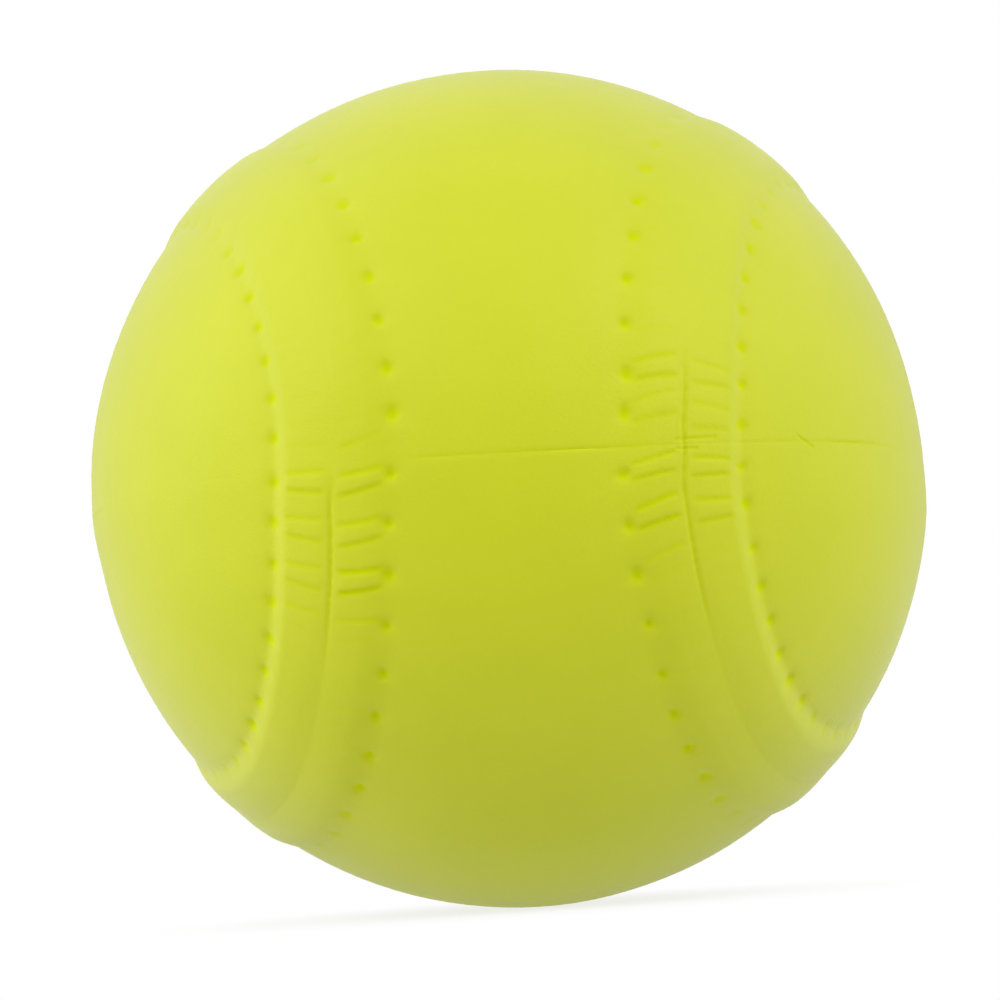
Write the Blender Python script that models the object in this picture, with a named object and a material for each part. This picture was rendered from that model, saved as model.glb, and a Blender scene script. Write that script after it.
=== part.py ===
"""Foam pitching machine ball with a moulded seam.

A cellular foam core sits in a dense moulded skin. The skin is in two halves, because the mould parts
on the plane z = 0 and draws along Z. A raised welt follows the seam, with a centre groove, a row of
stitch holes along each foot and slanting moulded threads between the holes and the groove.

Metres, +Z up. The origin is the ball's centre. The seam winds round the Y axis, and the narrow waist
of one panel faces -Y.
"""
import math

import bmesh
import bpy
import numpy as np
from mathutils import Vector, geometry

# Ball, skin and core
BALL_DIAMETER = 0.0730
SKIN_THICKNESS = 0.0020
CORE_CLEARANCE = 0.0003
PARTING_CLEARANCE = 0.0003

# Welt section, measured across the seam on the ball's surface
GROOVE_WIDTH = 0.0007
GROOVE_DEPTH = 0.00045
WELT_HEIGHT = 0.00070
CROWN_WIDTH = 0.0060
CROWN_DROP = 0.00015
SHOULDER_RUN = 0.0014

# Stitches, counted along one half's seam run from the parting plane
STITCHES_PER_HALF = 54
FIRST_STITCH = 0.00135
STITCH_SLANT = 0.0010
THREAD_RISE = 0.00018
HOLE_DIAMETER = 0.00095
HOLE_DEPTH = 0.00080
HOLE_TO_WELT = 0.00016
HOLE_TO_PANEL = 0.00060

# Shape ratios of the seam line: how far it swings and how sharply it turns
SEAM_SWING = 0.552
SEAM_SWING_TRIM = -0.017
SEAM_REACH = 1.089
SEAM_REACH_TRIM = -0.041

# Facets
SEAM_SAMPLES = 3000
HOLE_SIDES = 8
PANEL_SUBDIVISIONS = 4
CORE_SUBDIVISIONS = 4
SMOOTH_ANGLE = math.radians(30)
SAME_POINT = 1e-7

# Finish: colour as red, green, blue, and roughness
SKIN_YELLOW = (0.60, 0.67, 0.045)
SKIN_ROUGHNESS = 0.60
CORE_YELLOW = (0.66, 0.71, 0.160)
CORE_ROUGHNESS = 0.95

# Values that follow from the sizes above
BALL_RADIUS = BALL_DIAMETER / 2
CAVITY_RADIUS = BALL_RADIUS - SKIN_THICKNESS
CORE_RADIUS = CAVITY_RADIUS - CORE_CLEARANCE
GROOVE_LIP = GROOVE_WIDTH / 2
CROWN_EDGE = CROWN_WIDTH / 2
CROWN_MIDDLE = (GROOVE_LIP + CROWN_EDGE) / 2
WELT_FOOT = CROWN_EDGE + SHOULDER_RUN
HOLE_ROW = WELT_FOOT + HOLE_TO_WELT + HOLE_DIAMETER / 2
BAND_EDGE = HOLE_ROW + HOLE_DIAMETER / 2 + HOLE_TO_PANEL
WELT_LINES = (GROOVE_LIP, CROWN_MIDDLE, CROWN_EDGE, WELT_FOOT)


def clear_scene():
    """Remove every object of the open file."""
    for item in list(bpy.data.objects):
        bpy.data.objects.remove(item, do_unlink=True)


def seam_line():
    """The upper half's seam run: unit directions, sideways directions and length along it.

    It starts at the parting plane on the +X side of the waist, goes over the top and comes down to
    the parting plane on the -X side. Sideways points to the panel whose waist faces -Y.
    """
    turn = np.linspace(math.pi / 4, 5 * math.pi / 4, SEAM_SAMPLES + 1)
    a = np.cos(turn) + SEAM_SWING * np.cos(3 * turn) + SEAM_SWING_TRIM * np.cos(5 * turn)
    b = np.sin(turn) - SEAM_SWING * np.sin(3 * turn) + SEAM_SWING_TRIM * np.sin(5 * turn)
    c = SEAM_REACH * np.sin(2 * turn) + SEAM_REACH_TRIM * np.sin(6 * turn)
    line = np.stack([a + b, -math.sqrt(2) * c, b - a], axis=1)
    line /= np.linalg.norm(line, axis=1, keepdims=True)
    along = np.gradient(line, axis=0)
    sideways = np.cross(line, along)
    sideways /= np.linalg.norm(sideways, axis=1, keepdims=True)
    steps = np.linalg.norm(np.diff(line, axis=0), axis=1) * BALL_RADIUS
    return line, sideways, np.concatenate([[0.0], np.cumsum(steps)])


SEAM, SIDEWAYS, LENGTH = seam_line()
SEAM_RUN = LENGTH[-1]
PITCH = SEAM_RUN / STITCHES_PER_HALF
THREAD_STEP = PITCH / 2
PLANE_GAP = THREAD_STEP / 4


def on_band(along, across):
    """Direction of the point at a length along the seam and a distance across it."""
    centre = np.array([np.interp(along, LENGTH, SEAM[:, i]) for i in range(3)])
    side = np.array([np.interp(along, LENGTH, SIDEWAYS[:, i]) for i in range(3)])
    angle = across / BALL_RADIUS
    place = centre * math.cos(angle) + side * math.sin(angle)
    return Vector(place).normalized()


def band_place(direction):
    """Length along the seam and distance across it of a direction."""
    near = int(np.argmax(SEAM @ np.array(direction)))
    across = math.atan2(float(SIDEWAYS[near] @ direction), float(SEAM[near] @ direction))
    return LENGTH[near], across * BALL_RADIUS


def slant(across):
    """How far the threads lead along the seam at a distance across it."""
    return STITCH_SLANT * max(0.0, 1 - abs(across) / HOLE_ROW)


def welt_rise(along, across):
    """Height of the welt and its threads above the panels."""
    reach = abs(across)
    outline = (0.0, GROOVE_LIP, CROWN_MIDDLE, CROWN_EDGE, WELT_FOOT)
    heights = (WELT_HEIGHT - GROOVE_DEPTH, WELT_HEIGHT, WELT_HEIGHT, WELT_HEIGHT - CROWN_DROP, 0.0)
    shares = (0.0, 1.0, 1.0, 1.0, 0.0)
    wave = math.cos(2 * math.pi * (along - slant(across) - FIRST_STITCH) / PITCH)
    thread = THREAD_RISE * wave * np.interp(reach, outline, shares)
    return float(np.interp(reach, outline, heights) + thread)


def hole_sink(along, across):
    """Depth of the stitch hole at a place on the band, or 0 outside the holes."""
    nearest = round((along - FIRST_STITCH) / PITCH)
    away = math.hypot(along - FIRST_STITCH - nearest * PITCH, abs(across) - HOLE_ROW)
    return HOLE_DEPTH * max(0.0, 1 - away / (HOLE_DIAMETER / 2))


def surface_radius(direction):
    """Distance from the ball's centre to the skin's outer surface."""
    along, across = band_place(direction)
    if abs(across) >= BAND_EDGE:
        return BALL_RADIUS
    return BALL_RADIUS + welt_rise(along, across) - hole_sink(along, across)


class PointNet:
    """Points of the half's outer surface and the lines between them that have to stay edges."""

    def __init__(self):
        self.points = []
        self.lines = []

    def add(self, direction):
        self.points.append(Vector(direction))
        return len(self.points) - 1

    def join(self, chain, closed=False):
        ends = chain[1:] + chain[:1] if closed else chain[1:]
        self.lines.extend(zip(chain, ends))


def add_welt(net):
    """Lines along the welt, with a point on every thread and in every dip between threads."""
    starts = []
    finishes = []
    for across in sorted([0.0, *WELT_LINES, *(-reach for reach in WELT_LINES)]):
        starts.append(net.add(on_band(0.0, across)))
        finishes.append(net.add(on_band(SEAM_RUN, across)))
        first = (FIRST_STITCH + slant(across)) % THREAD_STEP
        clear = [s for s in np.arange(first, SEAM_RUN, THREAD_STEP) if PLANE_GAP < s < SEAM_RUN - PLANE_GAP]
        chain = [net.add(on_band(along, across)) for along in clear]
        net.join([starts[-1], *chain, finishes[-1]])
    net.join(starts)
    net.join(finishes)


def add_holes(net):
    """A ring and a bottom point for every stitch hole, and one panel point beside each hole."""
    radius = HOLE_DIAMETER / 2
    for stitch in range(STITCHES_PER_HALF):
        along = FIRST_STITCH + stitch * PITCH
        for side in (1, -1):
            net.add(on_band(along, side * HOLE_ROW))
            ring = []
            for corner in range(HOLE_SIDES):
                angle = 2 * math.pi * (corner + 0.5) / HOLE_SIDES
                reach = HOLE_ROW + radius * math.sin(angle)
                ring.append(net.add(on_band(along + radius * math.cos(angle), side * reach)))
            net.join(ring, closed=True)
            net.add(on_band(along, side * BAND_EDGE))


def add_panels(net):
    """Evenly spread points over the smooth panels, and a ring of them on the parting plane."""
    ball = bmesh.new()
    bmesh.ops.create_icosphere(ball, subdivisions=PANEL_SUBDIVISIONS, radius=1.0)
    spread = sum(edge.calc_length() for edge in ball.edges) / len(ball.edges)
    for corner in ball.verts:
        direction = corner.co.normalized()
        if direction.z > spread / 2 and clear_of_band(direction, spread / 2):
            net.add(direction)
    ball.free()
    count = 4 * round(math.pi / 2 / spread)
    for step in range(count):
        angle = 2 * math.pi * step / count
        direction = Vector((math.cos(angle), math.sin(angle), 0.0))
        if clear_of_band(direction, spread / 4):
            net.add(direction)


def clear_of_band(direction, margin):
    """Is a direction on a panel, further from the band than a margin angle?"""
    across = band_place(direction)[1]
    return abs(across) > BAND_EDGE + margin * BALL_RADIUS


def outer_surface(net):
    """Triangulate the net over the upper half of the ball and raise it to the skin's surface.

    The half ball is laid flat by projecting it from the opposite pole, which keeps circles round.
    """
    flat = [Vector((p.x, p.y)) / (1 + p.z) for p in net.points]
    corners, _, faces, *_ = geometry.delaunay_2d_cdt(flat, net.lines, [], 0, SAME_POINT)
    shape = bmesh.new()
    verts = []
    for corner in corners:
        square = corner.length_squared
        direction = Vector((2 * corner.x, 2 * corner.y, 1 - square)) / (1 + square)
        place = direction * surface_radius(direction)
        verts.append(shape.verts.new(place))
    for face in faces:
        shape.faces.new([verts[i] for i in face])
    return shape


def skin_half(name):
    """One mould half of the skin: the seamed outer surface over a round cavity."""
    net = PointNet()
    add_welt(net)
    add_holes(net)
    add_panels(net)
    shape = outer_surface(net)
    mouth = [edge for edge in shape.edges if edge.is_boundary]
    for vert in {vert for edge in mouth for vert in edge.verts}:
        vert.co.z = PARTING_CLEARANCE / 2
    bmesh.ops.contextual_create(shape, geom=mouth)
    bmesh.ops.recalc_face_normals(shape, faces=shape.faces)
    return new_object(name, shape)


def round_body(name, radius):
    """A ball of even facets."""
    shape = bmesh.new()
    bmesh.ops.create_icosphere(shape, subdivisions=CORE_SUBDIVISIONS, radius=radius)
    return new_object(name, shape)


def new_object(name, shape):
    """Turn a bmesh into a named, smoothly shaded object."""
    mesh = bpy.data.meshes.new(name)
    shape.to_mesh(mesh)
    shape.free()
    mesh.shade_smooth()
    mesh.set_sharp_from_angle(angle=SMOOTH_ANGLE)
    item = bpy.data.objects.new(name, mesh)
    bpy.context.scene.collection.objects.link(item)
    return item


def finish(item, colour, roughness):
    """Give a piece its own material."""
    material = bpy.data.materials.new(item.name)
    material.use_nodes = True
    shader = material.node_tree.nodes["Principled BSDF"]
    shader.inputs["Base Color"].default_value = (*colour, 1.0)
    shader.inputs["Roughness"].default_value = roughness
    shader.inputs["Metallic"].default_value = 0.0
    item.data.materials.append(material)


def hollow(item, cavity):
    """Cut the core's cavity out of a skin half."""
    cut = item.modifiers.new("cavity", "BOOLEAN")
    cut.operation = "DIFFERENCE"
    cut.object = cavity


def build():
    clear_scene()
    ball = bpy.data.objects.new("ball", None)
    bpy.context.scene.collection.objects.link(ball)

    cavity = round_body("cavity_cutter", CAVITY_RADIUS)
    cavity.hide_render = True
    cavity.display_type = "WIRE"

    core = round_body("foam_core", CORE_RADIUS)
    finish(core, CORE_YELLOW, CORE_ROUGHNESS)

    upper = skin_half("upper_skin")
    lower = skin_half("lower_skin")
    lower.rotation_euler = (0.0, math.pi, 0.0)
    for half in (upper, lower):
        hollow(half, cavity)
        finish(half, SKIN_YELLOW, SKIN_ROUGHNESS)

    for item in (cavity, core, upper, lower):
        item.parent = ball


build()
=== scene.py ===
"""Looks of the foam pitching machine ball, in metres.

The ball is two moulded foam skin halves over a foam core. Each half starts as a cube blown up to a
sphere, is cut at the parting plane, refined along the seam band and along the parting rim, and is then
raised into the welt with its groove, stitch holes and moulded threads.
"""
import math

import bmesh
import bpy
import numpy as np
from mathutils import Matrix, Vector


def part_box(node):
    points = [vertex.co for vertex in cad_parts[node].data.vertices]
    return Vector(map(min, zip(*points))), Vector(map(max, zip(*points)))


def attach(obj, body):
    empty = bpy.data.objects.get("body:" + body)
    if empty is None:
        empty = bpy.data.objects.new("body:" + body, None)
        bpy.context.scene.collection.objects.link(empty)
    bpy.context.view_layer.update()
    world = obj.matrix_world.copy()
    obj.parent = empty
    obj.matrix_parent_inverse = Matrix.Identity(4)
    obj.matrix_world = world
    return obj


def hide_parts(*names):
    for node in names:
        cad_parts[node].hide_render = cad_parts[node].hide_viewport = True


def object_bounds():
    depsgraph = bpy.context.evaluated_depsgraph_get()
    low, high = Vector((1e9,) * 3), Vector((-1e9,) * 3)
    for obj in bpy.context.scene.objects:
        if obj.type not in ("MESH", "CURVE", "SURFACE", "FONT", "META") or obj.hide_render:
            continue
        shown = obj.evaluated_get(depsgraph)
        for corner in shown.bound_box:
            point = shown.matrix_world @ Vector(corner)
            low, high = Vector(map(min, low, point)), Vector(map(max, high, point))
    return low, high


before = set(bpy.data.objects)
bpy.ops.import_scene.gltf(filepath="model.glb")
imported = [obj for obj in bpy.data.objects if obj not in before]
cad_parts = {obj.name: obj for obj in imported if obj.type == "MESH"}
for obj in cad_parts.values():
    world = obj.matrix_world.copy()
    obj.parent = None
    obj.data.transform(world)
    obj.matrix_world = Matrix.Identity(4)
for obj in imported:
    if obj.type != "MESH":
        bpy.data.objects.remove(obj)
cad_low, cad_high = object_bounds()
core_low, core_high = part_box("foam_core")

MM = 0.001

# Ball and wall
BALL_RADIUS = (cad_high.x - cad_low.x) / 2
CORE_RADIUS = (core_high.x - core_low.x) / 2
CORE_CLEARANCE = 0.3 * MM
CAVITY_RADIUS = CORE_RADIUS + CORE_CLEARANCE
CAVITY_RINGS = 6

# Seam line: two of these waves make the curve of the two interlocking panels
SEAM_SWING = 0.552
SEAM_SWING_TRIM = -0.017
SEAM_REACH = 1.089
SEAM_REACH_TRIM = -0.041
SEAM_SAMPLES = 6000
READ_BLOCK = 2000

# Welt, the raised band along the seam: its shoulder is softer on the side facing a panel's neck
WELT_HEIGHT = 0.60 * MM
WELT_LEAN = 0.16
CROWN_HALF = 3.3 * MM
CROWN_HALF_NECK = 2.5 * MM
CROWN_DROP = 0.10 * MM
WELT_FOOT = 5.2 * MM
WELT_FOOT_NECK = 6.1 * MM
WELT_END = 2.0 * WELT_FOOT
TUCK_DEPTH = 0.035 * MM
TUCK_PLACE = 5.3 * MM
TUCK_REACH = 0.7 * MM

# Groove along the welt, a little off its middle towards a panel's neck
GROOVE_OFFSET = 0.40 * MM
GROOVE_HALF = 0.30 * MM
GROOVE_DEPTH = 0.14 * MM
GROOVE_ROLL_DEPTH = 0.06 * MM
GROOVE_ROLL_REACH = 0.9 * MM
# Share of the painted shade of the creases that is laid in the groove
GROOVE_PAINTED_SHADE = 0.6

# The groove closes above a level that rises to the right, and low down it softens and fades
GROOVE_CLOSE_SLOPE = 10.0 * MM
GROOVE_CLOSE_DROP = 0.5 * MM
GROOVE_CLOSE_RUN = 4.0 * MM
GROOVE_CLOSE_SHARE = 0.9
GROOVE_SOFTENS = (9.0 * MM, 20.0 * MM)
GROOVE_ROLL_WIDENING = 0.6
GROOVE_FADES = (9.0 * MM, 17.0 * MM)
GROOVE_FADE_SHARE = 0.85

# Stitches: a hole on each side of the welt, and a thread from each hole to the groove
STITCHES = 108
FIRST_STITCH = 1.05 * MM
STITCH_CROWDING = 1.10 * MM
STITCH_SEED = 7

# Stitch holes, deeper on the side facing a panel's neck
HOLE_ROW = 5.06 * MM
HOLE_RADIUS = 0.86 * MM
HOLE_SIZES = (0.88, 1.12)
HOLE_DEPTH = 0.14 * MM
HOLE_DEPTH_NECK = 0.24 * MM
HOLE_LIP_DEPTH = 0.03 * MM
HOLE_LIP_REACH = 0.25 * MM
HOLE_SCATTER = 0.10 * MM
HOLE_TURN_FADE = 0.75

# Moulded threads, with a crease on both sides
THREAD_HALF_AT_GROOVE = 0.88 * MM
THREAD_HALF_AT_HOLE = 0.66 * MM
THREAD_RISE = 0.075 * MM
THREAD_SLANT = 0.70 * MM
THREAD_SLANT_CHANGE = 0.30 * MM
THREAD_BOW = 0.6
THREAD_SCATTER = 0.10 * MM
THREAD_PRESSES = (0.75, 1.15)
CREASE_DEPTH = 0.075 * MM
CREASE_HALF = 0.40 * MM

# Stretch along the seam where the threads are clear, and how faint they are beyond it
THREAD_REACH = 5.9 * MM
THREAD_REACH_CHANGE = 0.6 * MM
THREAD_FADE = 2.4 * MM
THREAD_MIDDLE = 2.5 * MM
THREAD_MIDDLE_CHANGE = 3.0 * MM
THREAD_FAINT = 0.12
THREAD_FAINT_ENDS = (14.0 * MM, 24.0 * MM)
THREAD_FAINT_BEHIND = 0.30

# Distances across the seam at which a thread starts beside the groove and ends at its foot or its hole
THREAD_STARTS = (0.4 * MM, 1.0 * MM)
THREAD_ENDS_AT_FOOT = (3.2 * MM, 4.0 * MM)
THREAD_ENDS_AT_HOLE = (4.1 * MM, 4.9 * MM)
THREAD_SHARE = 0.7
THREAD_SHARE_NECK_GAIN = 0.3

# Distances along the seam from the parting plane, where it starts and ends its turn to the back
TURN_START = (26.0 * MM, 38.0 * MM)
TURN_END = (52.0 * MM, 66.0 * MM)
UPPER_TURN_LEAD = 7.0 * MM

# Stitches that stand off their even places: first and last number, row, and shift along the seam.
# They are numbered upwards from the parting plane on the right, and the inner rows face the front's middle.
OUTER_ROW, INNER_ROW = 0, 1
STITCH_NUDGES = (
    (0, 0, INNER_ROW, 1.10 * MM),
    (104, 107, INNER_ROW, 0.40 * MM),
    (0, 0, OUTER_ROW, 0.50 * MM),
    (106, 107, OUTER_ROW, 0.33 * MM),
    (53, 53, INNER_ROW, -0.20 * MM),
)

# Stitches of the outer row low on the left, each a step further off than the one before
DRIFT_FIRST, DRIFT_LAST = 57, 64
DRIFT_STEP = -0.11 * MM

# The first stitches, whose threads are pressed less
LIGHT_STITCHES = 2
LIGHT_PRESS = 0.6

# Mould halves: how far they are turned and shifted against each other, and how the whole ball is drawn in
MOULD_TURN = 0.0345
MOULD_SLIP_UPPER = 0.23 * MM
MOULD_SLIP_LOWER = 0.03 * MM
MOULD_SLIP_RISE = 4.5 * MM
SEAM_SPREAD = 1.011
BODY_SLIP_UPPER = -0.10 * MM
BODY_SLIP_LOWER = 0.30 * MM
BODY_SLIP_RISE = 6.0 * MM
BODY_NARROWING = 0.0065

# Parting line between the halves, which waves up and down round the ball
PARTING_HALF = 0.26 * MM
PARTING_DEPTH = 0.10 * MM
PARTING_DROP = 0.35 * MM
PARTING_WAVE = 0.18 * MM
PARTING_WAVES_ROUND = 4.0
PARTING_WAVE_START = math.radians(136.0)
PARTING_WAVE_REACH = 4.0 * MM
# Share of the painted shade of the creases that is laid in the parting line
PARTING_PAINTED_SHADE = 0.8

# Longitudes, in degrees from the front's middle, over which the parting line opens and closes, and how far
LINE_LEAST = 0.08
LINE_MOST_GAIN = 0.92
FRONT_OPENS = (-14.0, -8.0)
FRONT_SHARE = 0.6
FRONT_DEEPENS = (4.0, 9.0)
FRONT_GAIN = 0.25
RIGHT_CLOSES = (10.0, 22.0)
RIGHT_CLOSING = 0.7
FAR_RIGHT_OPENS = (43.0, 47.0)
FAR_RIGHT_SHARE = 0.5
FAR_RIGHT_CLOSES = (56.0, 64.0)
BACK_OPENS = (95.0, 120.0)
BACK_SHARE = 0.5

# Unevenness of the parting line's depth
WAVER_MEAN = 0.75
WAVER_SWING = 0.25
WAVER_FAST = 17.0
WAVER_SLOW = 7.0
WAVER_START = 1.0

# Short marks beside the parting line: longitude in degrees and height of both ends
PARTING_MARKS = (
    (20.9, 0.36 * MM, 26.3, 0.42 * MM),
    (20.9, -0.36 * MM, 23.6, -0.40 * MM),
    (39.8, 0.40 * MM, 42.4, -0.45 * MM),
)
MARK_HALF = 0.20 * MM
MARK_DEPTH = 0.065 * MM
MARK_REACH = 0.75 * MM
MARK_STRETCH = (19.5, 44.0)

# Slow swells and smaller ripples of the foam skin: each wave's rates over X, Y and Z, and its start
LUMP_HEIGHT = 0.04 * MM
SWELL_WAVES = ((5.1, 0.0, 2.3, 0.4), (0.0, 4.3, -3.1, 1.9))
RIPPLE_WAVES = ((6.1, 0.0, 11.7, 0.0), (9.3, -7.7, 0.0, 0.8))
RIPPLE_SHARE = 0.5

# Dents of the open cells in the core, from waves of the same kind
CORE_SUBDIVISIONS = 6
CORE_DENT_DEPTH = 0.05 * MM
CORE_DENT_MEAN = 2.0
CORE_CELL_WAVES = ((61.0, 13.0, 0.0, 0.0), (0.0, 57.0, -11.0, 0.0))
CORE_ROW_WAVE = (17.0, 0.0, 53.0, 0.0)

# Mesh density: the widths on each side of the seam and of the parting plane that each pass refines
SKIN_CUTS = 35
BAND_PASSES = (7.7 * MM, 6.8 * MM, 6.1 * MM)
RIM_PASSES = (2.4 * MM, 1.3 * MM, 0.8 * MM)
SNAP_REACH = 0.075 * MM
SNAP_BAND = 5.8 * MM
SNAP_RIM = 0.6 * MM
SNAP_LEAST_THREAD = 0.05
WELD_REACH = 0.01 * MM
SHARP_ANGLE = math.radians(60.0)

# Foam of the skin and the core
FOAM_SPECULAR = 0.22
FOAM_SHEEN_ROUGHNESS = 0.5
FOAM_ROUGHNESS_DRIFT = 0.08
FOAM_BUMP_STRENGTH = 0.35
FOAM_CELL_SHARE = 0.5
BLOTCH_RANGE = (0.3, 0.7)
BLOTCH_DETAIL = 4.0
GRAIN_DETAIL = 3.0

# Each foam's own colours and finish, and the skin's painted shade for holes and creases; the scales are
# those of its blotches, grain and cells
SKIN_DEEP = (0.600, 0.655, 0.008)
SKIN_PALE = (0.635, 0.685, 0.012)
# Painted shade and light in the holes and creases: dull colours that stand in for the sheen shut out of them
# and for light soaking through the foam
SKIN_HOLLOW_PAINTED_SHADE = (("crease", (0.600, 0.680, 0.000)), ("hollow", (0.635, 0.720, 0.002)))
SKIN_ROUGHNESS = 0.55
SKIN_SCALES = (70.0, 2600.0, 5200.0)
SKIN_BUMP_DEPTH = 0.05 * MM
SKIN_SHEEN = 0.37
CORE_DEEP = (0.580, 0.620, 0.110)
CORE_PALE = (0.680, 0.720, 0.180)
CORE_ROUGHNESS = 0.9
CORE_SCALES = (60.0, 1800.0, 1100.0)
CORE_BUMP_DEPTH = 0.20 * MM
CORE_SHEEN = 0.1

# Floor and world; the fades are distances from the ball's middle over which the floor turns plain white
FLOOR_HALF = 3.0
FLOOR_WHITE = 0.75
FLOOR_ROUGHNESS = 0.9
FLOOR_SEEN_FADE = (0.0, 0.053)
FLOOR_MIRRORED_FADE = (0.036, 0.060)
WORLD_WHITE = (1.0, 1.0, 1.0, 1.0)
WORLD_LIGHT = 0.221

# Lamps: azimuth and elevation in degrees seen from the ball, power, and whether the ball mirrors them
LAMP_DISTANCE = 0.70
LAMP_SIZE = 0.50
LAMPS = (
    ("lamp_left", -90.0, 15.0, 1.30, True),
    ("lamp_right", 90.0, 15.0, 0.55, True),
    ("lamp_front", 0.0, 45.0, 0.52, True),
    ("lamp_front_left", -50.0, 35.0, 2.20, True),
    ("lamp_front_right", 50.0, 35.0, 2.36, True),
    ("lamp_back", 180.0, 5.0, 1.70, False),
    ("lamp_low_front", 0.0, -50.0, 0.27, False),
    ("lamp_low_left", -70.0, -35.0, 1.72, False),
    ("lamp_low_right", 70.0, -35.0, 1.52, False),
)

# Camera, with the ball's outline radius and middle in pixels of the square image
CAMERA_DISTANCE = 8.5 * BALL_RADIUS
CAMERA_PITCH = math.radians(-5.12)
CAMERA_YAW = math.radians(0.294)
CAMERA_ROLL = math.radians(-3.82)
CAMERA_SENSOR = 36.0
CAMERA_CLIP_START = 0.01
OUTLINE_PIXELS = 419.0
CENTRE_PIXEL = (508.1, 488.5)
IMAGE_PIXELS = 1000.0


def ease(low, high, value):
    """Smooth step from 0 at low to 1 at high."""
    share = np.clip((value - low) / (high - low), 0.0, 1.0)
    return share * share * (3.0 - 2.0 * share)


def blend(start, end, share):
    """Value that goes evenly from start to end."""
    return start + (end - start) * share


def sine(place, x_rate, y_rate, z_rate, start):
    """A wave through space, read at a place's x, y and z."""
    x, y, z = place
    return np.sin(x_rate * x + y_rate * y + z_rate * z + start)


def unit(rows):
    """Rows scaled to a length of 1."""
    return rows / np.linalg.norm(rows, axis=1, keepdims=True)


def longitude_of(directions):
    """Angle about Z from the front's middle, growing to the right."""
    return np.arctan2(directions[:, 0], -directions[:, 1])


def level_of(directions):
    """Height on the ball above the parting plane."""
    return directions[:, 2] * BALL_RADIUS


class SeamLine:
    """The closed seam on the sphere, read as a distance along it and a distance across it."""

    def __init__(self):
        turn = np.linspace(0.0, 2.0 * math.pi, SEAM_SAMPLES, endpoint=False) + math.pi / 4.0
        round_x = np.cos(turn) + SEAM_SWING * np.cos(3 * turn) + SEAM_SWING_TRIM * np.cos(5 * turn)
        round_y = np.sin(turn) - SEAM_SWING * np.sin(3 * turn) + SEAM_SWING_TRIM * np.sin(5 * turn)
        wave = SEAM_REACH * np.sin(2 * turn) + SEAM_REACH_TRIM * np.sin(6 * turn)
        corners = np.column_stack((round_x + round_y, -math.sqrt(2.0) * wave, round_y - round_x))
        self.line = unit(corners)
        ahead = np.roll(self.line, -1, axis=0)
        behind = np.roll(self.line, 1, axis=0)
        self.heading = unit(ahead - behind)
        self.sideways = unit(np.cross(self.line, self.heading))
        steps = np.linalg.norm(ahead - self.line, axis=1) * BALL_RADIUS
        self.length = steps.sum()
        self.along = np.concatenate(([0.0], np.cumsum(steps)[:-1]))

    def read(self, directions):
        """Distance along and across the seam of each direction, by the nearest point of the line."""
        blocks = np.array_split(directions, len(directions) // READ_BLOCK + 1)
        nearest = np.concatenate([np.argmax(block @ self.line.T, axis=1) for block in blocks])
        ahead = np.einsum("ij,ij->i", directions, self.heading[nearest])
        across = np.einsum("ij,ij->i", directions, self.sideways[nearest])
        return self.along[nearest] + ahead * BALL_RADIUS, np.arcsin(across) * BALL_RADIUS

    def place(self, along, across):
        """The direction at a distance along and across the seam."""
        angle = (across / BALL_RADIUS)[:, None]
        line = self.between(self.line, along)
        sideways = self.between(self.sideways, along)
        return unit(line * np.cos(angle) + sideways * np.sin(angle))

    def between(self, rows, along):
        """Rows read between the samples of the line."""
        columns = [np.interp(along, self.along, rows[:, axis], period=self.length) for axis in range(3)]
        return np.column_stack(columns)

    def angle(self, along):
        """Distance along the seam as an angle, a full turn for the whole seam."""
        return 2.0 * math.pi * along / self.length


SEAM = SeamLine()
PITCH = SEAM.length / STITCHES
STITCH_DRAW = np.random.RandomState(STITCH_SEED)
HOLE_SHIFT = STITCH_DRAW.uniform(-1.0, 1.0, (STITCHES, 2, 2)) * HOLE_SCATTER
HOLE_SIZE = STITCH_DRAW.uniform(*HOLE_SIZES, (STITCHES, 2))
THREAD_SHIFT = STITCH_DRAW.uniform(-1.0, 1.0, (STITCHES, 2)) * THREAD_SCATTER
THREAD_PRESS = STITCH_DRAW.uniform(*THREAD_PRESSES, (STITCHES, 2))
THREAD_PRESS[:LIGHT_STITCHES] *= LIGHT_PRESS
STITCH_NUDGE = np.zeros((STITCHES, 2))
for first, last, row, nudge in STITCH_NUDGES:
    STITCH_NUDGE[first:last + 1, row] = nudge
drifting = np.arange(DRIFT_FIRST, DRIFT_LAST + 1)
STITCH_NUDGE[drifting, OUTER_ROW] = DRIFT_STEP * (drifting - DRIFT_FIRST + 1)


def neck_side(along, across):
    """1 on the side of the seam that faces a panel's narrow neck, -1 on the side facing its round end."""
    return np.sign(across) * np.cos(2.0 * SEAM.angle(along))


def neck_share(along, across):
    """1 on the side that faces a panel's neck, 0 on the side facing its round end."""
    return 0.5 + 0.5 * neck_side(along, across)


def groove_place(along):
    """Distance across the seam at which the groove lies."""
    return GROOVE_OFFSET * np.cos(2.0 * SEAM.angle(along))


def from_parting(along, middle=0.0):
    """Distance along the seam from the nearest place where it crosses the parting plane."""
    return np.abs(((along - middle) / SEAM.length * 2.0 + 0.5) % 1.0 - 0.5) * SEAM.length / 2.0


def row_of(across):
    """Which of the two rows of stitch holes lies on this side of the seam."""
    return (across > 0).astype(int)


def stitch_of(along, across, lead=0.0):
    """Number of the nearest stitch and the distance along from it, where it lies a lead further along.

    On the side facing a neck the stitches stand closer together, because the row is shorter there.
    """
    neck = neck_share(along, across)
    crowding = STITCH_CROWDING * neck * np.sign(across) * np.sin(2.0 * SEAM.angle(along))
    from_first = along - FIRST_STITCH - lead + crowding
    count = np.rint(from_first / PITCH)
    stitch = count.astype(int) % STITCHES
    return stitch, from_first - count * PITCH - STITCH_NUDGE[stitch, row_of(across)]


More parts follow.
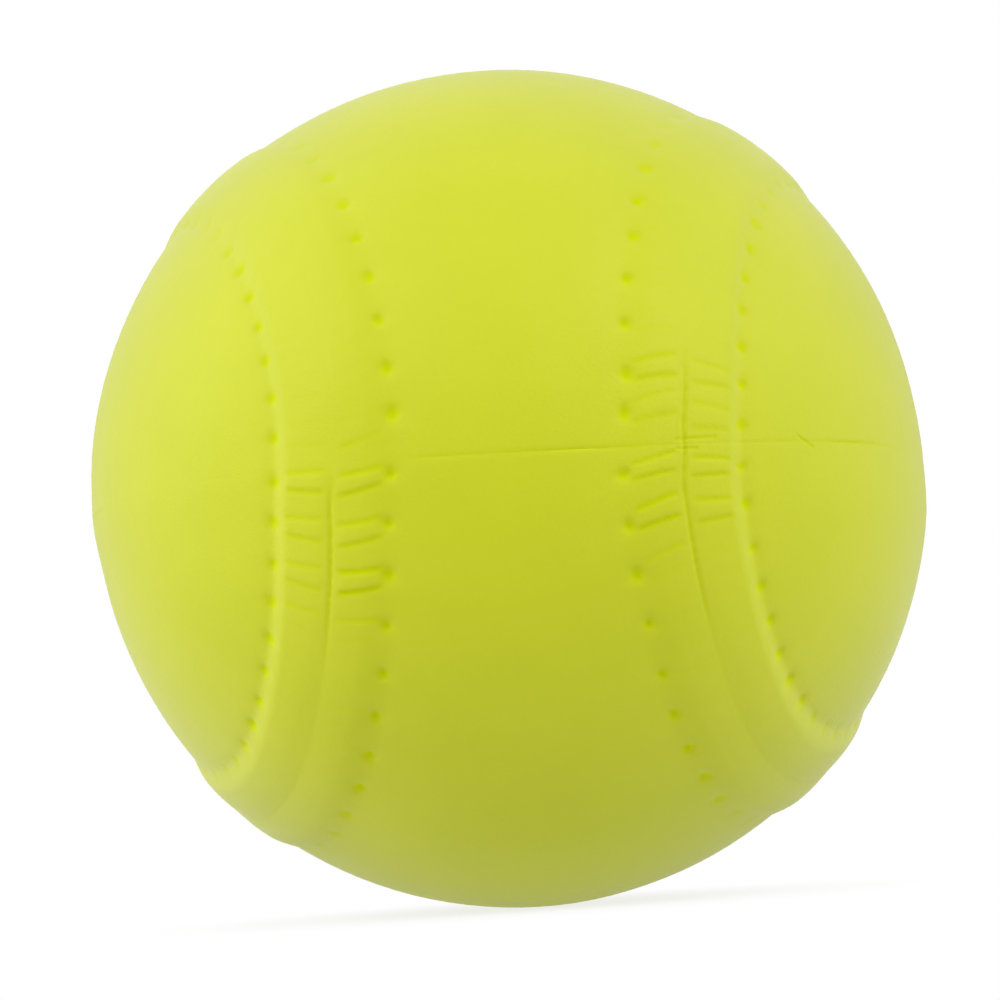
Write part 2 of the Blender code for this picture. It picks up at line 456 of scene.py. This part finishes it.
def hole_distance(along, across):
    """Distance from the middle of the nearest stitch hole, and that hole's radius."""
    stitch, ahead = stitch_of(along, across)
    shift = HOLE_SHIFT[stitch, row_of(across)]
    away = np.hypot(ahead - shift[:, 0], np.abs(across) - HOLE_ROW - shift[:, 1])
    return away, HOLE_RADIUS * HOLE_SIZE[stitch, row_of(across)]


def thread_place(along, across):
    """Distance along from the nearest thread's middle line, its half width, and how hard it is pressed."""
    outward = np.clip((np.abs(across) - GROOVE_HALF) / (HOLE_ROW - GROOVE_HALF), 0.0, 1.0)
    slant = THREAD_SLANT + THREAD_SLANT_CHANGE * neck_side(along, across)
    bow = (1.0 - outward) * (1.0 + THREAD_BOW * outward)
    stitch, ahead = stitch_of(along, across, slant * bow)
    half = blend(THREAD_HALF_AT_GROOVE, THREAD_HALF_AT_HOLE, outward)
    row = row_of(across)
    return ahead - THREAD_SHIFT[stitch, row], half, THREAD_PRESS[stitch, row]


def thread_strength(along, across):
    """Threads are pressed deepest next to the parting plane, and fade towards the groove and the foot."""
    right_share = np.cos(SEAM.angle(along))
    middle = THREAD_MIDDLE - THREAD_MIDDLE_CHANGE * right_share
    from_middle = from_parting(along, middle)
    full_reach = THREAD_REACH + THREAD_REACH_CHANGE * right_share
    faint = THREAD_FAINT * (1.0 - ease(*THREAD_FAINT_ENDS, from_middle))
    faint += THREAD_FAINT_BEHIND * ease(*TURN_END, from_middle)
    strength = 1.0 - (1.0 - faint) * ease(full_reach, full_reach + THREAD_FADE, from_middle)
    neck = neck_share(along, across)
    reach = np.abs(across)
    near_groove = ease(*THREAD_STARTS, np.abs(across - groove_place(along)))
    to_foot = 1.0 - ease(*THREAD_ENDS_AT_FOOT, reach) * (1.0 - neck)
    to_hole = 1.0 - ease(*THREAD_ENDS_AT_HOLE, reach)
    return strength * near_groove * to_foot * to_hole * (THREAD_SHARE + THREAD_SHARE_NECK_GAIN * neck)


def welt_height(along, across, directions):
    """The welt, a little lower on the upper half than on the lower half."""
    reach = np.abs(across)
    neck = neck_share(along, across)
    crown_half = blend(CROWN_HALF, CROWN_HALF_NECK, neck)
    foot = blend(WELT_FOOT, WELT_FOOT_NECK, neck)
    crown = WELT_HEIGHT * (1.0 - WELT_LEAN * directions[:, 2])
    crown -= CROWN_DROP * np.square(np.minimum(reach / crown_half, 1.0))
    tuck = TUCK_DEPTH * (1.0 - neck) * np.exp(-np.square((reach - TUCK_PLACE) / TUCK_REACH))
    return crown * (1.0 - ease(crown_half, foot, reach)) - tuck


def groove_shape(along, across, directions):
    """Height of the groove, and how far into it each point is.

    It is nearly closed on the upper half, sooner on the left, and fades to a soft hollow low down.
    """
    reach = np.abs(across - groove_place(along))
    level = level_of(directions)
    closing = GROOVE_CLOSE_SLOPE * directions[:, 0] - GROOVE_CLOSE_DROP
    open_share = 1.0 - GROOVE_CLOSE_SHARE * ease(closing, closing + GROOVE_CLOSE_RUN, level)
    softened = ease(*GROOVE_SOFTENS, -level)
    faded = GROOVE_FADE_SHARE * ease(*GROOVE_FADES, -level)
    cut = open_share * (1.0 - faded) * np.maximum(0.0, 1.0 - reach / GROOVE_HALF)
    roll_reach = GROOVE_ROLL_REACH * (1.0 + GROOVE_ROLL_WIDENING * softened)
    roll = open_share * (1.0 + softened) * np.exp(-np.square(reach / roll_reach))
    return -GROOVE_DEPTH * cut - GROOVE_ROLL_DEPTH * roll, cut


def thread_shape(along, across):
    """Height of the moulded threads, and how far into a crease beside one each point is."""
    away, half, press = thread_place(along, across)
    pressed = press * thread_strength(along, across)
    share = np.minimum(np.abs(away) / half, 1.0)
    beside = np.minimum(np.abs(np.abs(away) - half) / CREASE_HALF, 1.0)
    crease = pressed * np.square(1.0 - np.square(beside))
    return THREAD_RISE * pressed * np.sqrt(1.0 - share * share) - CREASE_DEPTH * crease, crease


def hole_shape(along, across):
    """Height of the stitch holes, and how far into a hole each point is.

    They are shallow where the seam turns to the back, and sooner so on the upper half.
    """
    away, radius = hole_distance(along, across)
    distance = from_parting(along)
    lead = np.where(np.sin(SEAM.angle(along)) > 0.0, UPPER_TURN_LEAD, 0.0)
    pressed = 1.0 - HOLE_TURN_FADE * (ease(*TURN_START, distance + lead) - ease(*TURN_END, distance))
    inside = pressed * np.square(np.maximum(0.0, 1.0 - np.square(away / radius)))
    depth = blend(HOLE_DEPTH, HOLE_DEPTH_NECK, neck_share(along, across))
    lip = HOLE_LIP_DEPTH * pressed * np.exp(-np.square(np.maximum(away - radius, 0.0) / HOLE_LIP_REACH))
    return -depth * inside - lip, inside


def lumps(directions):
    """Slow swells and hollows that the foam skin has all over."""
    swell = sine(directions.T, *SWELL_WAVES[0]) * sine(directions.T, *SWELL_WAVES[1])
    ripple = sine(directions.T, *RIPPLE_WAVES[0]) * sine(directions.T, *RIPPLE_WAVES[1])
    return LUMP_HEIGHT * (swell + RIPPLE_SHARE * ripple)


def parting_height(longitude):
    """Height of the parting line, which waves up and down round the ball."""
    return PARTING_WAVE * np.cos(PARTING_WAVES_ROUND * longitude + PARTING_WAVE_START) - PARTING_DROP


def parting_opening(longitude):
    """How deep the parting line is cut, as a share of its full depth.

    It is clearest in the middle and far right of the front, and nearly closed on the left.
    """
    degrees = np.degrees(longitude)
    share = ease(*FRONT_OPENS, degrees) * (FRONT_SHARE + FRONT_GAIN * ease(*FRONT_DEEPENS, degrees))
    share *= 1.0 - RIGHT_CLOSING * ease(*RIGHT_CLOSES, degrees)
    share += FAR_RIGHT_SHARE * ease(*FAR_RIGHT_OPENS, degrees)
    share *= 1.0 - ease(*FAR_RIGHT_CLOSES, degrees)
    share += BACK_SHARE * ease(*BACK_OPENS, np.abs(degrees))
    swing = WAVER_SWING * np.sin(WAVER_FAST * longitude) * np.sin(WAVER_SLOW * longitude + WAVER_START)
    return (LINE_LEAST + LINE_MOST_GAIN * share) * (WAVER_MEAN + swing)


def into_marks(longitude, level):
    """How far into one of the short marks beside the parting line each point is."""
    deepest = np.zeros(len(level))
    places = np.column_stack((longitude * BALL_RADIUS, level))
    for start, start_level, end, end_level in PARTING_MARKS:
        start_place = np.array((math.radians(start) * BALL_RADIUS, start_level))
        run = np.array((math.radians(end) * BALL_RADIUS, end_level)) - start_place
        offset = places - start_place
        share = np.clip(offset @ run / (run @ run), 0.0, 1.0)
        away = np.linalg.norm(offset - np.outer(share, run), axis=1)
        deepest = np.maximum(deepest, 1.0 - away / MARK_HALF)
    return deepest


def parting_shape(directions):
    """Height of the parting line and of its marks, and how far into one of them each point is."""
    longitude = longitude_of(directions)
    level = level_of(directions)
    notch = np.maximum(0.0, 1.0 - np.abs(level) / PARTING_HALF)
    into_line = parting_opening(longitude) * notch
    into_mark = into_marks(longitude, level)
    return -PARTING_DEPTH * into_line - MARK_DEPTH * into_mark, np.maximum(into_line, into_mark)


def draw_to(values, target, reach):
    """Values within reach of the target are put on it."""
    return np.where(np.abs(values - target) < reach, target, values)


def draw_to_lines(along, across):
    """Moves points that lie beside the groove or a thread's crease onto it, so that the edge is crisp."""
    groove = groove_place(along)
    side = np.sign(across - groove)
    reach = draw_to(np.abs(across - groove), 0.0, SNAP_REACH)
    across = groove + side * draw_to(reach, GROOVE_HALF, SNAP_REACH)
    away, half, _ = thread_place(along, across)
    offset = np.abs(away) - half
    on_thread = (np.abs(offset) < SNAP_REACH) & (thread_strength(along, across) > SNAP_LEAST_THREAD)
    along = along - np.where(on_thread, np.sign(away) * offset, 0.0)
    return along, across


def mould_offset(directions, side):
    """How far a half's mould is turned about Z and slipped along X, growing away from the parting plane."""
    share = side * ease(0.0, MOULD_SLIP_RISE, np.abs(level_of(directions)))
    slip = MOULD_SLIP_UPPER if side > 0 else MOULD_SLIP_LOWER
    return share * MOULD_TURN / 2.0, share * slip / BALL_RADIUS


def turn_about_z(rows, angle):
    """Rows turned about Z, each by its own angle."""
    x, y, z = rows.T
    return np.column_stack((x * np.cos(angle) - y * np.sin(angle), x * np.sin(angle) + y * np.cos(angle), z))


def to_mould(directions, side):
    """Directions on the ball as the half's own mould sees them."""
    turn, slip = mould_offset(directions, side)
    slipped = directions + np.outer(slip, (1.0, 0.0, 0.0))
    return unit(turn_about_z(slipped / (SEAM_SPREAD, 1.0, 1.0), -turn))


def from_mould(directions, side):
    """Directions in the half's mould as they lie on the ball."""
    turn, slip = mould_offset(directions, side)
    turned = turn_about_z(directions, turn) * (SEAM_SPREAD, 1.0, 1.0)
    return unit(turned - np.outer(slip, (1.0, 0.0, 0.0)))


def moulded_points(directions, side):
    """Places of one half's outer skin, how far into a hole each lies, and how far into another crease.

    Side is 1 for the upper half and -1 for the lower half.
    """
    along, across = SEAM.read(to_mould(directions, side))
    distance = np.abs(level_of(directions))
    movable = (np.abs(across) < SNAP_BAND) & (distance > SNAP_RIM)
    along[movable], across[movable] = draw_to_lines(along[movable], across[movable])
    placed = directions.copy()
    placed[movable] = from_mould(SEAM.place(along[movable], across[movable]), side)
    pits, in_hole = hole_shape(along, across)
    threads, in_crease = thread_shape(along, across)
    groove, in_groove = groove_shape(along, across, placed)
    parting, in_parting = parting_shape(placed)
    height = welt_height(along, across, placed) + groove + threads + pits
    height = np.where(np.abs(across) < WELT_END, height, 0.0)
    height += lumps(placed) + parting
    points = placed * (BALL_RADIUS + height)[:, None]
    points[:, 2] += parting_height(longitude_of(placed)) * (1.0 - ease(0.0, PARTING_WAVE_REACH, distance))
    points[:, 0] *= 1.0 - BODY_NARROWING
    body_slip = BODY_SLIP_UPPER if side > 0 else BODY_SLIP_LOWER
    points[:, 0] += body_slip * ease(0.0, BODY_SLIP_RISE, np.abs(points[:, 2]))
    # Where the painted shade of creases goes: thread creases, the groove and the parting line, each by its
    # share
    crease = np.maximum.reduce((in_crease, GROOVE_PAINTED_SHADE * in_groove, PARTING_PAINTED_SHADE * in_parting))
    return points, in_hole, crease


def blow_up(shape, radius):
    """Moves every vertex of a shape out to the sphere."""
    for vert in shape.verts:
        vert.co = vert.co.normalized() * radius


def add_half_sphere(shape, side):
    """A finely cut cube blown up to a sphere, with one side of the parting plane kept."""
    bmesh.ops.create_cube(shape, size=2.0)
    bmesh.ops.subdivide_edges(shape, edges=shape.edges[:], cuts=SKIN_CUTS, use_grid_fill=True)
    for vert in shape.verts:
        vert.co = Vector([math.tan(part * math.pi / 4.0) for part in vert.co])
    blow_up(shape, BALL_RADIUS)
    everything = shape.verts[:] + shape.edges[:] + shape.faces[:]
    bmesh.ops.bisect_plane(shape, geom=everything, dist=WELD_REACH, plane_co=(0.0, 0.0, 0.0),
                           plane_no=(0.0, 0.0, side), clear_inner=True)


def directions_of(shape):
    """Directions of a shape's vertices from the ball's middle."""
    shape.verts.index_update()
    return unit(np.array([vert.co for vert in shape.verts]))


def beside_lines(directions, side, band_reach, rim_reach):
    """Which directions lie beside the seam or beside the parting plane."""
    across = SEAM.read(to_mould(directions, side))[1]
    return (np.abs(across) < band_reach) | (np.abs(level_of(directions)) < rim_reach)


def beside_marks(directions):
    """Which directions lie in the stretch of the parting line that has marks."""
    degrees = np.degrees(longitude_of(directions))
    in_stretch = (degrees > MARK_STRETCH[0]) & (degrees < MARK_STRETCH[1])
    return in_stretch & (np.abs(level_of(directions)) < MARK_REACH)


def refine(shape, near):
    """Halves the edges that have both ends near, and puts the new points on the sphere."""
    edges = [edge for edge in shape.edges if near[edge.verts[0].index] and near[edge.verts[1].index]]
    bmesh.ops.subdivide_edges(shape, edges=edges, cuts=1, use_grid_fill=True, use_single_edge=True)
    blow_up(shape, BALL_RADIUS)


def close_behind(shape, side):
    """Gives the half its wall: the flat parting face and the round cavity behind it."""
    ring = [edge for edge in shape.edges if edge.is_boundary]
    for step in range(CAVITY_RINGS + 1):
        lift = math.pi / 2.0 * step / CAVITY_RINGS
        grown = bmesh.ops.extrude_edge_only(shape, edges=ring)["geom"]
        new_verts = [item for item in grown if isinstance(item, bmesh.types.BMVert)]
        for vert in new_verts:
            flat = vert.co.xy.normalized() * CAVITY_RADIUS * math.cos(lift)
            vert.co = (flat.x, flat.y, side * CAVITY_RADIUS * math.sin(lift))
        ring = [item for item in grown if isinstance(item, bmesh.types.BMEdge) and item.is_boundary]
    bmesh.ops.remove_doubles(shape, verts=new_verts, dist=WELD_REACH)


def new_piece(name, shape):
    """Makes a mesh object of a finished shape and frees the shape."""
    bmesh.ops.recalc_face_normals(shape, faces=shape.faces[:])
    mesh = bpy.data.meshes.new(name)
    shape.to_mesh(mesh)
    shape.free()
    piece = bpy.data.objects.new(name, mesh)
    bpy.context.scene.collection.objects.link(piece)
    return piece


def skin_half(name, side):
    """One half of the skin, with the welt, holes and threads raised on its outside."""
    shape = bmesh.new()
    add_half_sphere(shape, side)
    for band_reach, rim_reach in zip(BAND_PASSES, RIM_PASSES):
        refine(shape, beside_lines(directions_of(shape), side, band_reach, rim_reach))
    refine(shape, beside_marks(directions_of(shape)))
    close_behind(shape, side)
    piece = new_piece(name, shape)
    places = np.empty(len(piece.data.vertices) * 3, dtype=np.float32)
    piece.data.vertices.foreach_get("co", places)
    places = places.reshape(-1, 3).astype(float)
    outside = np.linalg.norm(places, axis=1) > (BALL_RADIUS + CAVITY_RADIUS) / 2.0
    hollow = np.zeros(len(places), dtype=np.float32)
    crease = np.zeros(len(places), dtype=np.float32)
    places[outside], hollow[outside], crease[outside] = moulded_points(unit(places[outside]), side)
    piece.data.vertices.foreach_set("co", places.astype(np.float32).ravel())
    # The hole and crease shares go on the mesh, where the material paints shade by them
    for attribute, share in (("hollow", hollow), ("crease", crease)):
        piece.data.attributes.new(attribute, "FLOAT", "POINT").data.foreach_set("value", share)
    piece.data.shade_smooth()
    piece.data.set_sharp_from_angle(angle=SHARP_ANGLE)
    piece.data.update()
    return piece


def core_ball(name):
    """The foam core: a closed ball whose skin is dented all over by the open cells."""
    shape = bmesh.new()
    bmesh.ops.create_icosphere(shape, subdivisions=CORE_SUBDIVISIONS, radius=CORE_RADIUS)
    for vert in shape.verts:
        place = vert.co / CORE_RADIUS
        dent = sine(place, *CORE_CELL_WAVES[0]) * sine(place, *CORE_CELL_WAVES[1])
        dent += sine(place, *CORE_ROW_WAVE)
        vert.co = place * float(CORE_RADIUS - CORE_DENT_DEPTH * (CORE_DENT_MEAN + dent))
    piece = new_piece(name, shape)
    piece.data.shade_smooth()
    return piece


def new_material(name):
    """A material with its nodes and links."""
    material = bpy.data.materials.new(name)
    material.use_nodes = True
    return material, material.node_tree.nodes, material.node_tree.links


def foam_grain_group():
    """Slow blotches and fine closed-cell grain of moulded foam, shared by the skin and the core."""
    group = bpy.data.node_groups.new("foam_grain", "ShaderNodeTree")
    for socket, kind in (("Vector", "NodeSocketVector"), ("Blotch Scale", "NodeSocketFloat"),
                         ("Grain Scale", "NodeSocketFloat"), ("Cell Scale", "NodeSocketFloat")):
        group.interface.new_socket(socket, in_out="INPUT", socket_type=kind)
    for socket in ("Blotch", "Grain", "Cells"):
        group.interface.new_socket(socket, in_out="OUTPUT", socket_type="NodeSocketFloat")
    nodes, links = group.nodes, group.links
    entry = nodes.new("NodeGroupInput")
    leave = nodes.new("NodeGroupOutput")
    for source, target, detail in (("Blotch Scale", "Blotch", BLOTCH_DETAIL),
                                   ("Grain Scale", "Grain", GRAIN_DETAIL)):
        noise = nodes.new("ShaderNodeTexNoise")
        noise.inputs["Detail"].default_value = detail
        links.new(entry.outputs["Vector"], noise.inputs["Vector"])
        links.new(entry.outputs[source], noise.inputs["Scale"])
        links.new(noise.outputs["Fac"], leave.inputs[target])
    cells = nodes.new("ShaderNodeTexVoronoi")
    links.new(entry.outputs["Vector"], cells.inputs["Vector"])
    links.new(entry.outputs["Cell Scale"], cells.inputs["Scale"])
    links.new(cells.outputs["Distance"], leave.inputs["Cells"])
    return group


def foam_material(name, grain, deep, pale, painted_hollows, roughness, scales, bump_depth, sheen):
    """Foam with a colour and roughness that drift with the blotches and a bump from grain and cells.

    Light that soaks through the foam keeps the stitch holes bright and the sheen does not reach into them,
    so a dull colour is painted in them and in the creases: painted shade where the sheen and reflections
    are shut out, and painted light for the light that soaks in. Hollows pairs each mesh attribute with its
    painted colour.
    """
    material, nodes, links = new_material(name)
    shader = nodes["Principled BSDF"]
    shader.inputs["Sheen Weight"].default_value = sheen
    shader.inputs["Sheen Roughness"].default_value = FOAM_SHEEN_ROUGHNESS
    shader.inputs["Specular IOR Level"].default_value = FOAM_SPECULAR
    place = nodes.new("ShaderNodeTexCoord")
    effect = nodes.new("ShaderNodeGroup")
    effect.node_tree = grain
    for socket, scale in zip(("Blotch Scale", "Grain Scale", "Cell Scale"), scales):
        effect.inputs[socket].default_value = scale
    links.new(place.outputs["Object"], effect.inputs["Vector"])
    tint = nodes.new("ShaderNodeValToRGB")
    for stop, position, colour in zip(tint.color_ramp.elements, BLOTCH_RANGE, (deep, pale)):
        stop.position = position
        stop.color = (*colour, 1.0)
    links.new(effect.outputs["Blotch"], tint.inputs["Fac"])
    links.new(tint.outputs["Color"], shader.inputs["Base Color"])
    gloss = nodes.new("ShaderNodeMapRange")
    gloss.inputs["To Min"].default_value = roughness - FOAM_ROUGHNESS_DRIFT
    gloss.inputs["To Max"].default_value = roughness + FOAM_ROUGHNESS_DRIFT
    links.new(effect.outputs["Grain"], gloss.inputs["Value"])
    links.new(gloss.outputs["Result"], shader.inputs["Roughness"])
    height = nodes.new("ShaderNodeMath")
    height.operation = "MULTIPLY_ADD"
    height.inputs[1].default_value = FOAM_CELL_SHARE
    links.new(effect.outputs["Cells"], height.inputs[0])
    links.new(effect.outputs["Grain"], height.inputs[2])
    bump = nodes.new("ShaderNodeBump")
    bump.inputs["Strength"].default_value = FOAM_BUMP_STRENGTH
    bump.inputs["Distance"].default_value = bump_depth
    links.new(height.outputs["Value"], bump.inputs["Height"])
    links.new(bump.outputs["Normal"], shader.inputs["Normal"])
    surface = shader.outputs["BSDF"]
    # Painted shade: in holes and creases the shader is blended into a dull diffuse of the painted colour, so
    # the sheen and reflections are shut out
    for attribute, colour in painted_hollows:
        into = nodes.new("ShaderNodeAttribute")
        into.attribute_name = attribute
        painted_shade = nodes.new("ShaderNodeBsdfDiffuse")
        painted_shade.inputs["Color"].default_value = (*colour, 1.0)
        links.new(bump.outputs["Normal"], painted_shade.inputs["Normal"])
        over = nodes.new("ShaderNodeMixShader")
        links.new(into.outputs["Fac"], over.inputs["Fac"])
        links.new(surface, over.inputs[1])
        links.new(painted_shade.outputs["BSDF"], over.inputs[2])
        surface = over.outputs["Shader"]
    links.new(surface, nodes["Material Output"].inputs["Surface"])
    return material


def add_floor():
    """A wide white floor under the ball, which keeps the shadow and fades to plain white far off.

    Light passes it both ways, so that the lamps below it light the ball as a white table would. Mirrored
    in the ball it is white too, but not close to where the ball stands on it.
    """
    shape = bmesh.new()
    bmesh.ops.create_grid(shape, x_segments=1, y_segments=1, size=FLOOR_HALF)
    bmesh.ops.translate(shape, verts=shape.verts[:], vec=(0.0, 0.0, cad_low.z))
    floor = new_piece("floor", shape)
    material, nodes, links = new_material("floor_white")
    shader = nodes["Principled BSDF"]
    shader.inputs["Base Color"].default_value = (FLOOR_WHITE, FLOOR_WHITE, FLOOR_WHITE, 1.0)
    shader.inputs["Roughness"].default_value = FLOOR_ROUGHNESS
    shader.inputs["Specular IOR Level"].default_value = 0.0
    place = nodes.new("ShaderNodeTexCoord")
    away = nodes.new("ShaderNodeVectorMath")
    away.operation = "LENGTH"
    links.new(place.outputs["Object"], away.inputs[0])
    path = nodes.new("ShaderNodeLightPath")
    whole = None
    for ray, (near, far) in (("Is Camera Ray", FLOOR_SEEN_FADE), ("Is Glossy Ray", FLOOR_MIRRORED_FADE),
                             ("Is Transmission Ray", FLOOR_MIRRORED_FADE)):
        fade = nodes.new("ShaderNodeMapRange")
        fade.interpolation_type = "SMOOTHSTEP"
        fade.inputs["From Min"].default_value = near
        fade.inputs["From Max"].default_value = far
        links.new(away.outputs["Value"], fade.inputs["Value"])
        share = nodes.new("ShaderNodeMath")
        share.operation = "MULTIPLY_ADD"
        share.inputs[2].default_value = 0.0
        links.new(fade.outputs["Result"], share.inputs[0])
        links.new(path.outputs[ray], share.inputs[1])
        if whole is not None:
            links.new(whole.outputs["Value"], share.inputs[2])
        whole = share
    white = nodes.new("ShaderNodeEmission")
    mix = nodes.new("ShaderNodeMixShader")
    links.new(whole.outputs["Value"], mix.inputs["Fac"])
    links.new(shader.outputs["BSDF"], mix.inputs[1])
    links.new(white.outputs["Emission"], mix.inputs[2])
    links.new(mix.outputs["Shader"], nodes["Material Output"].inputs["Surface"])
    floor.data.materials.append(material)
    floor.visible_shadow = False
    floor.visible_diffuse = False


def add_world():
    """A plain white surround, white where it is seen and softer as light."""
    world = bpy.data.worlds.new("studio")
    world.use_nodes = True
    bpy.context.scene.world = world
    nodes, links = world.node_tree.nodes, world.node_tree.links
    light = nodes["Background"]
    light.inputs["Color"].default_value = WORLD_WHITE
    light.inputs["Strength"].default_value = WORLD_LIGHT
    seen_white = nodes.new("ShaderNodeBackground")
    seen_white.inputs["Color"].default_value = WORLD_WHITE
    path = nodes.new("ShaderNodeLightPath")
    mix = nodes.new("ShaderNodeMixShader")
    seen = path.outputs["Is Camera Ray"]
    for ray in ("Is Glossy Ray", "Is Transmission Ray"):
        either = nodes.new("ShaderNodeMath")
        either.operation = "MAXIMUM"
        links.new(seen, either.inputs[0])
        links.new(path.outputs[ray], either.inputs[1])
        seen = either.outputs["Value"]
    links.new(seen, mix.inputs["Fac"])
    links.new(light.outputs["Background"], mix.inputs[1])
    links.new(seen_white.outputs["Background"], mix.inputs[2])
    links.new(mix.outputs["Shader"], nodes["World Output"].inputs["Surface"])


def add_lamps():
    """Large soft lamps all round, each aimed at the ball from its own azimuth and elevation."""
    for name, azimuth, elevation, power, mirrored in LAMPS:
        light = bpy.data.lights.new(name, "AREA")
        light.shape = "DISK"
        light.size = LAMP_SIZE
        light.energy = power
        swing = Matrix.Rotation(math.radians(azimuth), 3, "Z")
        lift = Matrix.Rotation(math.radians(-elevation), 3, "X")
        place = swing @ lift @ Vector((0.0, -LAMP_DISTANCE, 0.0))
        lamp = bpy.data.objects.new(name, light)
        lamp.visible_glossy = mirrored
        lamp.location = place
        lamp.rotation_euler = (-place).to_track_quat("-Z", "Y").to_euler()
        bpy.context.scene.collection.objects.link(lamp)


def add_camera():
    """A long lens from a little below the ball's middle, rolled as in the photograph."""
    view = bpy.data.cameras.new("camera")
    focal_pixels = OUTLINE_PIXELS * math.sqrt((CAMERA_DISTANCE / BALL_RADIUS) ** 2 - 1.0)
    view.sensor_width = CAMERA_SENSOR
    view.lens = view.sensor_width * focal_pixels / IMAGE_PIXELS
    view.shift_x = 0.5 - CENTRE_PIXEL[0] / IMAGE_PIXELS
    view.shift_y = CENTRE_PIXEL[1] / IMAGE_PIXELS - 0.5
    view.clip_start = CAMERA_CLIP_START
    camera = bpy.data.objects.new("camera", view)
    tilt = Matrix.Rotation(CAMERA_ROLL, 3, "Y") @ Matrix.Rotation(CAMERA_PITCH, 3, "X")
    tilt = (tilt @ Matrix.Rotation(CAMERA_YAW, 3, "Z")).transposed()
    turn = tilt @ Matrix.Rotation(math.pi / 2.0, 3, "X")
    middle = (cad_low + cad_high) / 2.0
    place = middle + tilt @ Vector((0.0, -CAMERA_DISTANCE, 0.0))
    camera.matrix_world = Matrix.Translation(place) @ turn.to_4x4()
    bpy.context.scene.collection.objects.link(camera)
    bpy.context.scene.camera = camera


foam_grain = foam_grain_group()
skin_foam = foam_material("skin_foam_yellow", foam_grain, SKIN_DEEP, SKIN_PALE, SKIN_HOLLOW_PAINTED_SHADE, SKIN_ROUGHNESS,
                          SKIN_SCALES, SKIN_BUMP_DEPTH, SKIN_SHEEN)
core_foam = foam_material("core_foam_pale", foam_grain, CORE_DEEP, CORE_PALE, (), CORE_ROUGHNESS,
                          CORE_SCALES, CORE_BUMP_DEPTH, CORE_SHEEN)

for half_name, node, side in (("skin_upper_half", "upper_skin", 1), ("skin_lower_half", "lower_skin", -1)):
    half = skin_half(half_name, side)
    half.data.materials.append(skin_foam)
    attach(half, "root")
    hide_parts(node)

core = core_ball("core_ball")
core.data.materials.append(core_foam)
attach(core, "root")
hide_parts("foam_core")

add_floor()
add_world()
add_lamps()
add_camera()
bpy.context.scene.view_settings.view_transform = "Standard"
